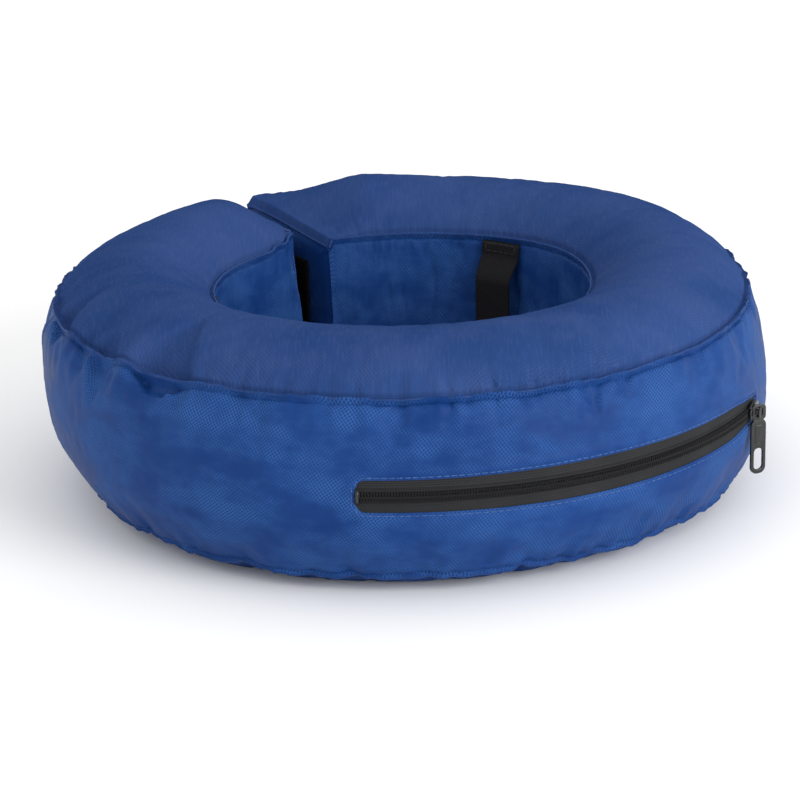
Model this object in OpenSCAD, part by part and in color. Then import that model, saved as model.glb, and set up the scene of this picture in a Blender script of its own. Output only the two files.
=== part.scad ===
// Inflatable ring collar for a pet: a zipped fabric cover over an air bladder, split at
// one place so that it opens round the neck. Millimetres, +Z up. The origin is the
// centre of the ring on the surface that it lies on.

/* [Ring] */
// Radius of the outer wall at its fullest
outer_r = 192.5; // [188:0.5:200]
// Radius of the seams between the outer wall and the top and bottom panels
outer_seam_r = 182.6; // [178:0.2:184]
// Radius of the seams round the neck hole
inner_seam_r = 99.2; // [96:0.2:104]
// How far the inner wall swells into the neck hole
inner_swell = 2.5; // [1:0.5:4]
// Height of the two top seams
top_seam_z = 102.5; // [98:0.5:108]
// Height of the two bottom seams
bottom_seam_z = 7; // [5:0.5:9]
// Height of the top panel's crown above its seams
top_crown = 16.5; // [12:0.5:20]
// Half the width of the flat ring that the collar rests on
rest_half_w = 21; // [16:0.5:24]

/* [Cover and bladder] */
// Thickness of the coated cover fabric
fabric_t = 0.7; // [0.5:0.1:0.9]
// Thickness of the bladder film
film_t = 0.5; // [0.3:0.1:0.6]
// Space between the cover's outer face and the bladder
bladder_inset = 5.3; // [5:0.1:7]
// Thickness of each hook and loop patch
patch_t = 1.2; // [0.8:0.1:1.2]
// Width of each hook and loop patch, across the ring
patch_w = 46; // [30:1:50]
// Height of each hook and loop patch
patch_h = 64; // [40:1:70]

/* [Split and flex lines] */
// Azimuth of the split, counter-clockwise from +X
split_az = 122; // [110:1:130]
// Angle of air between the two ends of the ring
split_gap = 2.2; // [2.2:0.1:4]
// Azimuth of the line that the right arm flexes about
right_flex_az = 18; // [14:1:24]
// Azimuth of the line that the left arm flexes about
left_flex_az = -132; // [-136:1:-126]
// Angle of air at each flex line
flex_gap = 0.24; // [0.2:0.02:0.5]
// Angle of air between the bladder's closed ends and the end panels
bladder_end_gap = 1.2; // [0.8:0.1:2]

/* [Collar loops] */
// Azimuth of the first loop
first_loop_az = 55.5; // [52:0.5:58]
// Angle from each loop to the next, clockwise
loop_pitch = 75; // [72:1:77]
// Width of the webbing
webbing_w = 22; // [18:1:25]
// Thickness of the webbing
webbing_t = 1.5; // [1:0.1:2]
// How far a slack loop stands off its sewn ends
loop_standoff = 10; // [9.5:0.5:12]

/* [Zip] */
// Azimuth of the zip's open end
zip_from_az = -97.5; // [-100:0.5:-90]
// Azimuth of the zip's closed end
zip_to_az = -22.5; // [-28:0.5:-20]
// Height of the zip's centreline
zip_z = 57; // [52:0.5:60]
// Height of the window that the zip is sewn behind
window_h = 16; // [14:0.5:18]
// Width of each zip tape
tape_w = 13; // [11:0.5:15]
// Thickness of each zip tape
tape_t = 0.6; // [0.4:0.1:0.7]
// Width of one coil
coil_w = 2.2; // [1.8:0.1:2.4]
// Thickness of the coil
coil_t = 1.7; // [1.4:0.1:1.8]
// Length of the pull tab below its pivot
pull_len = 33; // [26:1:36]
// Width of the pull tab
pull_w = 8.6; // [7:0.2:10]

/* [Valve] */
// Azimuth of the valve, behind the zip
valve_az = -61; // [-66:1:-56]
// Radius of the valve's flange
valve_flange_r = 18; // [16:0.5:18]
// Outer radius of the valve's recess
valve_cup_r = 15; // [13:0.5:15]
// Depth of the valve's recess below the flange
valve_cup_depth = 16; // [14:0.5:18]
// Bore of the valve's stem
valve_bore_r = 3.5; // [3:0.1:4]

/* [Hidden] */
$fn = 144;

cover_blue = [0.13, 0.28, 0.60];
bladder_blue = [0.62, 0.74, 0.86];
webbing_black = [0.07, 0.07, 0.08];
zip_black = [0.12, 0.12, 0.13];
valve_clear = [0.86, 0.90, 0.93];

// Each panel is a circular arc in the ring's section. A chord and its rise give the arc.
function arc_radius(half_chord, rise) = (half_chord * half_chord + rise * rise) / (2 * rise);

mid_r = (outer_seam_r + inner_seam_r) / 2;
mid_z = (top_seam_z + bottom_seam_z) / 2;
half_width = (outer_seam_r - inner_seam_r) / 2;
half_height = (top_seam_z - bottom_seam_z) / 2;

top_arc_r = arc_radius(half_width, top_crown);
top_arc_z = top_seam_z + top_crown - top_arc_r;
outer_arc_r = arc_radius(half_height, outer_r - outer_seam_r);
outer_arc_x = outer_r - outer_arc_r;
inner_arc_r = arc_radius(half_height, inner_swell);
inner_arc_x = inner_seam_r - inner_swell + inner_arc_r;
corner_r = arc_radius(half_width - rest_half_w, bottom_seam_z);

// The ring's three stretches, each [from, to]: front holds the zip, and the arms end at the split.
front = [left_flex_az + flex_gap / 2, right_flex_az - flex_gap / 2];
right_arm = [right_flex_az + flex_gap / 2, split_az - split_gap / 2];
left_arm = [split_az - 360 + split_gap / 2, left_flex_az - flex_gap / 2];

// How far the edge of a cutting solid runs past the solid that it cuts.
overcut = 1;

loop_margin = 1;
loop_tab = 6;
loop_slant = 15;
loop_bury = 0.5;

slot_half = 0.7;
slider_len = 12;
slider_half_w = 4.6;
slider_play = 0.5;
slider_plate_t = 1.2;
slider_margin_az = 2.5;
slider_lip_h = 1.4;
slider_lip_w = 1;
slider_web_az = 1.1;
slider_web_w = 0.7;
slider_az = zip_to_az - slider_margin_az;
coil_face_r = outer_r - fabric_t + coil_t;
tape_back_r = outer_r - fabric_t - tape_t;
slider_face_r = coil_face_r + slider_play + slider_plate_t;
stop_len_az = 0.5;
stop_t = 0.8;
tape_past_az = 3.5;

pull_t = 1.6;
pull_play = 0.4;
pull_back_r = slider_face_r + pull_play;
pull_neck_w = 4.8;
pull_slot_w = 4;
crown_r = 1.3;
crown_play = 0.3;
crown_head_r = 2.4;
crown_head_t = 0.9;
crown_root = 0.5;
eye_r = 3.7;

flange_t = 1.4;
flange_proud = 0.2;
flange_face_x = outer_r - bladder_inset + flange_proud;
cup_wall = 1;
cup_floor_x = flange_face_x - valve_cup_depth;
stem_r = 5.5;
stem_len = 8;
stem_top_x = cup_floor_x + stem_len;
flap_t = 0.6;
flap_margin = 0.5;
tether_w = 3;
tether_t = 1;
tether_play = 0.5;
tether_band = 1.6;
plug_len = 5;
plug_play = 0.05;
cap_gap = 0.1;
cap_r = 6.5;
cap_t = 1.6;
knob_r = 2.5;

far = 2 * outer_r;

// ---- helpers ----

// Turns a section round the ring's axis from one azimuth to another.
module sweep(span) {
  rotate([0, 0, span[0]])
    rotate_extrude(angle = span[1] - span[0])
      children();
}

// Puts a shape built along +X from the axis at an azimuth and a height.
module at(az, z) {
  rotate([0, 0, az]) translate([0, 0, z]) children();
}

// A round bar along +X from x0 to x1.
module bar(x0, x1, r) {
  translate([x0, 0, 0]) rotate([0, 90, 0]) cylinder(h = x1 - x0, r = r);
}

// A band of the outer wall's own curve, between two insets and two heights.
module outer_band(inset0, inset1, z0, z1) {
  intersection() {
    translate([outer_arc_x, mid_z]) difference() {
      circle(outer_arc_r - inset0);
      circle(outer_arc_r - inset1);
    }
    translate([mid_r, z0]) square([far, z1 - z0]);
  }
}

// ---- sections of the ring ----

module top_section() {
  intersection() {
    translate([mid_r, top_arc_z]) difference() {
      circle(top_arc_r);
      circle(top_arc_r - fabric_t);
    }
    translate([0, top_seam_z]) square([far, far]);
  }
}

module bottom_section() {
  translate([mid_r - rest_half_w, 0]) square([2 * rest_half_w, fabric_t]);
  for (side = [-1, 1])
    translate([mid_r + side * rest_half_w, corner_r]) intersection() {
      difference() {
        circle(corner_r);
        circle(corner_r - fabric_t);
      }
      translate([side < 0 ? -far : 0, -corner_r]) square([far, bottom_seam_z]);
    }
}

module inner_section() {
  intersection() {
    translate([inner_arc_x, mid_z]) difference() {
      circle(inner_arc_r);
      circle(inner_arc_r - fabric_t);
    }
    translate([0, bottom_seam_z]) square([mid_r, 2 * half_height]);
  }
}

// The filled section, drawn in from the cover's outer face by inset.
module filled_section(inset) {
  intersection() {
    union() {
      translate([mid_r, top_arc_z]) circle(top_arc_r - inset);
      square([far, top_seam_z - inset]);
    }
    translate([outer_arc_x, mid_z]) circle(outer_arc_r - inset);
    translate([inner_arc_x, mid_z]) circle(inner_arc_r - inset);
    union() {
      translate([0, corner_r]) square([far, far]);
      translate([mid_r - rest_half_w, inset]) square([2 * rest_half_w, far]);
      for (side = [-1, 1])
        translate([mid_r + side * rest_half_w, corner_r]) circle(corner_r - inset);
    }
  }
}

// ---- cover ----

module top_panel(span) {
  color(cover_blue) sweep(span) top_section();
}

module bottom_panel(span) {
  color(cover_blue) sweep(span) bottom_section();
}

module inner_wall(span) {
  color(cover_blue) sweep(span) inner_section();
}

module outer_wall(span) {
  color(cover_blue) sweep(span) outer_band(0, fabric_t, bottom_seam_z, top_seam_z);
}

module outer_wall_front() {
  color(cover_blue) difference() {
    outer_wall(front);
    sweep([zip_from_az, zip_to_az])
      translate([mid_r, zip_z - window_h / 2]) square([far, window_h]);
  }
}

// A flat plate across an arm's end. Side is 1 on the arm that ends counter-clockwise, and
// start is how far outside the arm's end plane the plate begins.
module on_end(az, side, start, thickness) {
  rotate([0, 0, az])
    translate([0, side > 0 ? start + thickness : -start, 0])
      rotate([90, 0, 0])
        linear_extrude(thickness)
          children();
}

module end_panel(az, side) {
  color(cover_blue) on_end(az, side, 0, fabric_t) filled_section(0);
}

module patch(az, side) {
  color(webbing_black)
    on_end(az, side, fabric_t, patch_t)
      translate([mid_r - patch_w / 2, mid_z - patch_h / 2])
        square([patch_w, patch_h]);
}

// ---- bladder and valve ----

module bladder_film(span) {
  sweep(span) difference() {
    filled_section(bladder_inset);
    filled_section(bladder_inset + film_t);
  }
}

module bladder_front() {
  color(bladder_blue) difference() {
    bladder_film(front);
    at(valve_az, mid_z) bar(mid_r, outer_r, valve_cup_r);
  }
}

// An arm's stretch of bladder, closed at its free end: span[1] if side is 1, else span[0].
module bladder_arm(span, side) {
  cap_az = film_t / mid_r * 180 / PI;
  hollow = side > 0 ? [span[0] - overcut, span[1] - cap_az] : [span[0] + cap_az, span[1] + overcut];
  color(bladder_blue) difference() {
    sweep(span) filled_section(bladder_inset);
    sweep(hollow) filled_section(bladder_inset + film_t);
  }
}

module valve_body() {
  color(valve_clear) at(valve_az, mid_z) difference() {
    union() {
      bar(flange_face_x - flange_t, flange_face_x, valve_flange_r);
      bar(cup_floor_x, flange_face_x, valve_cup_r);
    }
    difference() {
      bar(cup_floor_x + cup_wall, flange_face_x + overcut, valve_cup_r - cup_wall);
      bar(cup_floor_x, stem_top_x, stem_r);
    }
    bar(cup_floor_x - overcut, stem_top_x + overcut, valve_bore_r);
  }
}

module valve_flap() {
  color(valve_clear) at(valve_az, mid_z) bar(cup_floor_x - flap_t, cup_floor_x, stem_r + flap_margin);
}

module valve_tether() {
  ring_r = stem_r + tether_band;
  x0 = cup_floor_x + cup_wall;
  x1 = x0 + tether_t;
  color(valve_clear) at(valve_az, mid_z) {
    difference() {
      bar(x0, x1, ring_r);
      bar(x0 - overcut, x1 + overcut, stem_r);
    }
    translate([x1, -tether_w / 2, -ring_r])
      cube([stem_top_x - tether_play - x1, tether_w, tether_t]);
  }
}

module valve_plug() {
  cap_x = stem_top_x + cap_gap;
  color(valve_clear) at(valve_az, mid_z) {
    bar(stem_top_x - plug_len, cap_x, valve_bore_r - plug_play);
    bar(cap_x, cap_x + cap_t, cap_r);
    bar(cap_x + cap_t, cap_x + 2 * cap_t, knob_r);
  }
}

// ---- collar loops ----

// The radius of the inner wall's face at a height.
function wall_face(z) = inner_arc_x - sqrt(inner_arc_r * inner_arc_r - (z - mid_z) * (z - mid_z));

// A slack strap whose two ends are sewn flat on the inner wall, near its seams.
module loop_section() {
  front_r = inner_seam_r - loop_standoff;
  z0 = bottom_seam_z + loop_margin;
  z1 = top_seam_z - loop_margin;
  outline_z = [z0, z0 + loop_tab, z0 + loop_tab + loop_slant, z1 - loop_tab - loop_slant, z1 - loop_tab, z1];
  back = [for (z = outline_z) [wall_face(z) + loop_bury, z]];
  difference() {
    polygon([
      back[0], back[1], [front_r, outline_z[2]], [front_r, outline_z[3]], back[4], back[5],
      [wall_face(z1) - webbing_t, z1],
      [wall_face(z1 - loop_tab) - webbing_t, z1 - loop_tab],
      [front_r - webbing_t, outline_z[3]],
      [front_r - webbing_t, outline_z[2]],
      [wall_face(z0 + loop_tab) - webbing_t, z0 + loop_tab],
      [wall_face(z0) - webbing_t, z0]
    ]);
    translate([inner_arc_x, mid_z]) circle(inner_arc_r);
  }
}

module collar_loop(number) {
  az = first_loop_az - (number - 1) * loop_pitch;
  half_az = webbing_w / (inner_seam_r - loop_standoff) * 90 / PI;
  color(webbing_black) sweep([az - half_az, az + half_az]) loop_section();
}

// ---- zip ----

// A strip that follows the outer wall, above (side 1) or below (side -1) the zip's centreline.
module zip_strip(side, inset0, inset1, near, wide, past_az) {
  z0 = side > 0 ? zip_z + near : zip_z - near - wide;
  sweep([zip_from_az - past_az, zip_to_az + past_az])
    outer_band(inset0, inset1, z0, z0 + wide);
}

module zip_tape(side) {
  color(zip_black) zip_strip(side, fabric_t, fabric_t + tape_t, slot_half, tape_w, tape_past_az);
}

module zip_coil(side) {
  color(zip_black) zip_strip(side, fabric_t - coil_t, fabric_t, slot_half, coil_w, 0);
}

// A crimped stop at each end of the coil.
module zip_stops() {
  half_w = slot_half + coil_w;
  for (az = [zip_from_az, zip_to_az - stop_len_az])
    color(zip_black) sweep([az, az + stop_len_az])
      translate([coil_face_r, zip_z - half_w]) square([stop_t, 2 * half_w]);
}

module zip_slider() {
  half_az = slider_len / slider_face_r * 90 / PI;
  plate_x = coil_face_r + slider_play;
  base_x = tape_back_r - slider_play - slider_plate_t;
  head_x = pull_back_r + pull_t + crown_play;
  span = [slider_az - half_az, slider_az + half_az];
  color(zip_black) {
    sweep(span) {
      translate([plate_x, zip_z - slider_half_w]) square([slider_plate_t, 2 * slider_half_w]);
      translate([base_x, zip_z - slider_half_w]) square([slider_plate_t, 2 * slider_half_w]);
      for (z = [zip_z - slider_half_w, zip_z + slider_half_w - slider_lip_w])
        translate([plate_x - slider_lip_h, z]) square([slider_lip_h, slider_lip_w]);
    }
    sweep([span[1] - slider_web_az, span[1]])
      translate([base_x, zip_z - slider_web_w / 2]) square([plate_x - base_x, slider_web_w]);
    at(slider_az, zip_z) {
      bar(slider_face_r - crown_root, head_x, crown_r);
      bar(head_x, head_x + crown_head_t, crown_head_r);
    }
  }
}

// The pull tab, drawn flat with its pivot at the origin, hanging down.
module pull_outline() {
  tip_r = pull_w / 2;
  tip_y = tip_r - pull_len;
  shoulder_y = -pull_len * 0.3;
  slot_len = pull_len * 0.34;
  difference() {
    union() {
      circle(eye_r);
      translate([-pull_neck_w / 2, shoulder_y - overcut]) square([pull_neck_w, overcut - shoulder_y]);
      translate([-tip_r, tip_y]) square([pull_w, shoulder_y - tip_y]);
      translate([0, tip_y]) circle(tip_r);
    }
    circle(crown_r + crown_play);
    translate([-pull_slot_w / 2, tip_y]) square([pull_slot_w, slot_len]);
    for (y = [tip_y, tip_y + slot_len])
      translate([0, y]) circle(pull_slot_w / 2);
  }
}

module zip_pull() {
  color(zip_black) at(slider_az, zip_z)
    translate([pull_back_r, 0, 0])
      rotate([90, 0, 90])
        linear_extrude(pull_t)
          pull_outline();
}

top_panel(front);  // top_panel_front
top_panel(left_arm);  // top_panel_left
top_panel(right_arm);  // top_panel_right
bottom_panel(front);  // bottom_panel_front
bottom_panel(left_arm);  // bottom_panel_left
bottom_panel(right_arm);  // bottom_panel_right
outer_wall_front();
outer_wall(left_arm);  // outer_wall_left
outer_wall(right_arm);  // outer_wall_right
inner_wall(front);  // inner_wall_front
inner_wall(left_arm);  // inner_wall_left
inner_wall(right_arm);  // inner_wall_right
end_panel(left_arm[0], -1);  // end_panel_left
end_panel(right_arm[1], 1);  // end_panel_right
patch(left_arm[0], -1);  // hook_patch
patch(right_arm[1], 1);  // loop_patch
bladder_front();
bladder_arm([left_arm[0] + bladder_end_gap, left_arm[1]], -1);  // bladder_left
bladder_arm([right_arm[0], right_arm[1] - bladder_end_gap], 1);  // bladder_right
valve_body();
valve_flap();
valve_tether();
valve_plug();
collar_loop(1);  // collar_loop_1
collar_loop(2);  // collar_loop_2
collar_loop(3);  // collar_loop_3
collar_loop(4);  // collar_loop_4
zip_tape(1);  // zip_tape_upper
zip_tape(-1);  // zip_tape_lower
zip_coil(1);  // zip_coil_upper
zip_coil(-1);  // zip_coil_lower
zip_stops();
zip_slider();
zip_pull();
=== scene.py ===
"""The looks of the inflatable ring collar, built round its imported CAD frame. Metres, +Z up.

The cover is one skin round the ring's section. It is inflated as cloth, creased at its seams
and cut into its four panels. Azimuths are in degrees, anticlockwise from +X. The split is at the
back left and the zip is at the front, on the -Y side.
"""
import math

import bmesh
import bpy
import numpy as np
from mathutils import Matrix, Vector


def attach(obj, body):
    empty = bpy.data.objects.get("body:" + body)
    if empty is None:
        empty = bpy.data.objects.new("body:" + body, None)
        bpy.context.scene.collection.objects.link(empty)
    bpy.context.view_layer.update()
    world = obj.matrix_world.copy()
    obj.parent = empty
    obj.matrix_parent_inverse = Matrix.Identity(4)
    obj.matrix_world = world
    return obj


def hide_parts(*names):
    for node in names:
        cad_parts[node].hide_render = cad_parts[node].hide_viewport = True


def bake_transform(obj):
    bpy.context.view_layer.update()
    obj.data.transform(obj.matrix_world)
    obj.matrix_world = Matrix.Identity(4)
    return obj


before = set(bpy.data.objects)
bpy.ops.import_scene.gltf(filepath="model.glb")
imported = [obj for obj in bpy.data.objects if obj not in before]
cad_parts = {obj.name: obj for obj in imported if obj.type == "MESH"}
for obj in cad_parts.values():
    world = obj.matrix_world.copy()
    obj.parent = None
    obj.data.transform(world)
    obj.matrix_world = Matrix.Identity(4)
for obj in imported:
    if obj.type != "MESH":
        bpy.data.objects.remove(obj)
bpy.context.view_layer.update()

MM = 0.001

# The ring's section, as in the CAD
OUTER_R = 192.5 * MM
OUTER_SEAM_R = 182.6 * MM
INNER_SEAM_R = 99.2 * MM
INNER_SWELL = 2.5 * MM
TOP_SEAM_Z = 102.5 * MM
BOTTOM_SEAM_Z = 7 * MM
TOP_CROWN = 16.5 * MM
REST_HALF_W = 21 * MM
FABRIC_T = 0.7 * MM
MID_R = (OUTER_SEAM_R + INNER_SEAM_R) / 2
MID_Z = (TOP_SEAM_Z + BOTTOM_SEAM_Z) / 2

# Azimuths
LEFT_END = -236.9
RIGHT_END = 120.9
LEFT_FLEX = -132
RIGHT_FLEX = 18
CUT = -8
ZIP_FROM = -97.5
ZIP_TO = -22.5
SLIDER_AZ = -25

# Each side of the ring: where it starts and ends, and its arm
SIDES = {"left": (LEFT_END, CUT, "left_arm"), "right": (CUT, RIGHT_END, "right_arm")}

# Zip
ZIP_Z = 57 * MM
WINDOW_HALF = 8 * MM
WINDOW_CORNER = 5 * MM
WINDOW_END = 0.45
WINDOW_CLOSING = 2.6 * MM
WINDOW_CLOSING_L = 34 * MM
WINDOW_SAG = 0.9 * MM
STITCH_INSET = 1.4 * MM
TAPE_W = 13 * MM
TAPE_T = 0.6 * MM
COIL_W = 2.2 * MM
COIL_T = 1.7 * MM
COIL_GAP = 0.7 * MM

# Panels in the order of the section, anticlockwise: each starts where the one before it ends
BOTTOM, OUTER, TOP, INNER = range(4)
PANELS = {BOTTOM: "bottom_panel", OUTER: "outer_wall", TOP: "top_panel", INNER: "inner_wall"}

# The skin's grid: the step between columns in degrees, which is finer near the ends, and the rows
# of each panel. The outer wall's are below, across and above the zip's window.
COLUMN_STEP = 0.62
FINE_STEP = COLUMN_STEP / 3
FINE_AZ = 5
PANEL_ROWS = {BOTTOM: 34, TOP: 44, INNER: 40}
WALL_ROWS = (20, 8, 20)
CROWDING = 0.8


# ---- helpers ----

def smooth(x, low, high):
    """0 below low and 1 above high, with a smooth step between them."""
    t = np.clip((np.asarray(x, float) - low) / (high - low), 0, 1)
    return t * t * (3 - 2 * t)


def bump(x, centre, width):
    """A bell of height 1."""
    return np.exp(-((np.asarray(x, float) - centre) / width) ** 2)


def polar(r, az, z):
    """The point, or the points, at a radius, an azimuth in degrees and a height."""
    a = np.radians(az)
    return np.stack(np.broadcast_arrays(r * np.cos(a), r * np.sin(a), z), axis=-1)


def unit(vectors):
    """Vectors brought to length 1."""
    return vectors / np.maximum(np.linalg.norm(vectors, axis=-1, keepdims=True), 1e-12)


def measured(curve):
    """How far along its length each point of a curve is, in metres."""
    return np.concatenate([[0], np.cumsum(np.linalg.norm(np.diff(curve, axis=0), axis=1))])


def link(obj):
    """Puts an object into the scene, and returns it."""
    bpy.context.scene.collection.objects.link(obj)
    return obj


def mesh_piece(name, verts, faces, sharp=50):
    """A mesh object with smooth shading that breaks at edges sharper than an angle."""
    mesh = bpy.data.meshes.new(name)
    mesh.from_pydata(np.asarray(verts, float).tolist(), [], faces)
    mesh.validate()
    mesh.update()
    mesh.shade_smooth()
    mesh.set_sharp_from_angle(angle=math.radians(sharp))
    return link(bpy.data.objects.new(name, mesh))


def finish_piece(obj, body, material, slot, *nodes):
    """Gives a piece its material, the CAD nodes it stands for and the body it rides on.
    The slot is not used.
    """
    obj.data.materials.clear()
    obj.data.materials.append(material)
    if nodes:
        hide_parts(*nodes)
    if body:
        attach(obj, body)


def cubic_weights(x, count):
    """Catmull-Rom: the four samples round each x, and their weights."""
    base = np.clip(np.floor(x).astype(int), 0, count - 2)
    t = x - base
    index = np.stack([np.clip(base + k, 0, count - 1) for k in (-1, 0, 1, 2)], -1)
    weight = np.stack([
        -0.5 * t + t * t - 0.5 * t ** 3,
        1 - 2.5 * t * t + 1.5 * t ** 3,
        0.5 * t + 2 * t * t - 1.5 * t ** 3,
        -0.5 * t * t + 0.5 * t ** 3,
    ], -1)
    return index, weight


def cubic_sample(field, x, y):
    """A field of (columns, rows, channels) at fractional columns x and rows y."""
    xi, xw = cubic_weights(x, field.shape[0])
    yi, yw = cubic_weights(y, field.shape[1])
    total = 0
    for a in range(4):
        for b in range(4):
            total = total + field[xi[..., a], yi[..., b]] * (xw[..., a] * yw[..., b])[..., None]
    return total


# ---- the ring's section ----

def arc_radius(half_chord, rise):
    """The radius of an arc, from half its chord and how far it rises above that."""
    return (half_chord ** 2 + rise ** 2) / (2 * rise)


HALF_W = (OUTER_SEAM_R - INNER_SEAM_R) / 2
HALF_H = (TOP_SEAM_Z - BOTTOM_SEAM_Z) / 2
WALL_ARC = arc_radius(HALF_H, OUTER_R - OUTER_SEAM_R)
ARC_POINTS = 160


def arc(centre_r, centre_z, radius, start, end):
    """Points (r, z) along an arc, from one angle to another in radians."""
    a = np.linspace(start, end, ARC_POINTS)
    return np.column_stack([centre_r + radius * np.cos(a), centre_z + radius * np.sin(a)])


def section_curves():
    """Each panel's curve in the section, as closely spaced (r, z) points."""
    top = arc_radius(HALF_W, TOP_CROWN)
    inner = arc_radius(HALF_H, INNER_SWELL)
    corner = arc_radius(HALF_W - REST_HALF_W, BOTTOM_SEAM_Z)
    top_a = math.acos(HALF_W / top)
    wall_a = math.asin(HALF_H / WALL_ARC)
    inner_a = math.asin(HALF_H / inner)
    corner_a = math.acos((HALF_W - REST_HALF_W) / corner)
    under = np.vstack([
        arc(MID_R - REST_HALF_W, corner, corner, math.pi + corner_a, 1.5 * math.pi),
        arc(MID_R + REST_HALF_W, corner, corner, 1.5 * math.pi, 2 * math.pi - corner_a),
    ])
    return {
        BOTTOM: under,
        OUTER: arc(OUTER_R - WALL_ARC, MID_Z, WALL_ARC, -wall_a, wall_a),
        TOP: arc(MID_R, TOP_SEAM_Z + TOP_CROWN - top, top, top_a, math.pi - top_a),
        INNER: arc(INNER_SEAM_R - INNER_SWELL + inner, MID_Z, inner, math.pi - inner_a, math.pi + inner_a),
    }


CURVES = section_curves()
LENGTHS = {panel: measured(curve)[-1] for panel, curve in CURVES.items()}


def on_section(panel, share):
    """(r, z) at shares of a panel's length."""
    curve, along = CURVES[panel], measured(CURVES[panel])
    return [np.interp(share * along[-1], along, column) for column in curve.T]


def wall_share(z):
    """The share of the outer wall's length at a height."""
    return 0.5 + np.arcsin((z - MID_Z) / WALL_ARC) / (2 * math.asin(HALF_H / WALL_ARC))


def wall_radius(z):
    """The radius of the outer wall's face at a height."""
    return OUTER_R - WALL_ARC + np.sqrt(WALL_ARC ** 2 - (z - MID_Z) ** 2)


# ---- the grid of the skin ----

def clustered(count):
    """Shares from 0 to 1, closer together towards the seams."""
    t = np.linspace(0, 1, count + 1)
    return t - CROWDING * np.sin(2 * np.pi * t) / (2 * np.pi)


def columns():
    """The azimuths of the skin's columns, with one at each place that the skin is cut."""
    stops = [LEFT_END, LEFT_END + FINE_AZ, ZIP_FROM, ZIP_TO, CUT, RIGHT_END - FINE_AZ, RIGHT_END]
    steps = [FINE_STEP, *[COLUMN_STEP] * 4, FINE_STEP]
    parts = [np.linspace(a, b, round((b - a) / step), endpoint=False)
             for a, b, step in zip(stops, stops[1:], steps)]
    return np.concatenate(parts + [[RIGHT_END]])


def window_half(az):
    """Half the height of the zip's window. Its left end is rounded, and it closes in at the slider."""
    from_left = np.radians(np.clip(az - ZIP_FROM, 0, None)) * OUTER_R
    from_right = np.radians(np.clip(ZIP_TO - az, 0, None)) * OUTER_R
    rounding = np.sqrt(1 - (1 - np.clip(from_left / WINDOW_CORNER, 0, 1)) ** 2)
    half = WINDOW_HALF * (WINDOW_END + (1 - WINDOW_END) * rounding)
    half -= WINDOW_CLOSING * (1 - smooth(from_right, 0, WINDOW_CLOSING_L))
    return half + WINDOW_SAG * bump(az, (ZIP_FROM + ZIP_TO) / 2, 24)


def panel_shares(panel, az):
    """The shares of a panel's length at each column and row."""
    if panel != OUTER:
        return np.tile(clustered(PANEL_ROWS[panel]), (len(az), 1))
    half = window_half(az)[:, None]
    low, high = wall_share(ZIP_Z - half), wall_share(ZIP_Z + half)
    below, between, above = WALL_ROWS
    return np.hstack([
        low * clustered(below)[:-1],
        low + (high - low) * np.linspace(0, 1, between, endpoint=False),
        high + (1 - high) * clustered(above),
    ])


# ---- inflating the cover ----

SIM_STEP = 1.25
SIM_ROWS = {BOTTOM: 20, OUTER: 22, TOP: 20, INNER: 22}
SIM_FRAMES = 20
SIM_SEED = 3
SIM_JITTER = 0.2 * MM
SIM_END_RINGS = (0.85, 0.7, 0.55, 0.4, 0.25, 0.1)
# What changes over more than this many degrees is the ring's own shape, and no wrinkle
WRINKLE_AZ = 9
WRINKLE_CAP = 5 * MM
WRINKLE_GAIN = {BOTTOM: 0.6, OUTER: 0.6, TOP: 0.25, INNER: 0.6}


def sim_section():
    """The section that the cover is cut to before it is blown up: four straight sides."""
    inner, outer, foot, top = 98.5, 190, 6, 104.5
    corners = [(inner, foot), (outer, foot), (outer, top), (inner, top), (inner, foot)]
    sides = []
    for (a, b), rows in zip(zip(corners, corners[1:]), SIM_ROWS.values()):
        sides.append(np.linspace(a, b, rows, endpoint=False) * MM)
    return np.vstack(sides)


def sim_mesh(az, section):
    """The flat-sided ring as one closed mesh: its grid first, then the rows that close both ends."""
    count, rows = len(az), len(section)
    grid = polar(section[None, :, 0], az[:, None], section[None, :, 1])
    verts = grid.reshape(-1, 3).tolist()
    ring = [[i * rows + j for j in range(rows)] for i in range(count)]
    faces = []
    for a, b in zip(ring, ring[1:]):
        faces += [(a[j], b[j], b[(j + 1) % rows], a[(j + 1) % rows]) for j in range(rows)]
    for first, turned in ((0, False), (count - 1, True)):
        centre, outline = grid[first].mean(0), grid[first]
        before, closing = ring[first], []
        for share in SIM_END_RINGS:
            after = list(range(len(verts), len(verts) + rows))
            verts += (centre + (outline - centre) * share).tolist()
            for j, k in zip(range(rows), [*range(1, rows), 0]):
                closing.append((before[j], before[k], after[k], after[j]))
            before = after
        verts.append(centre.tolist())
        closing += [(before[j], before[(j + 1) % rows], len(verts) - 1) for j in range(rows)]
        faces += [face[::-1] for face in closing] if turned else closing
    return verts, faces


def slow_part(field, width):
    """A field averaged over a bell of columns, which keeps the ring's shape and drops its wrinkles."""
    reach = int(3 * width)
    bell = np.exp(-(np.arange(-reach, reach + 1) / width) ** 2 / 2)
    padded = np.pad(field, ((reach, reach), (0, 0), (0, 0)), mode="edge")
    shifted = [padded[k:k + len(field)] * share for k, share in enumerate(bell / bell.sum())]
    return np.sum(shifted, axis=0)


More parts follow.
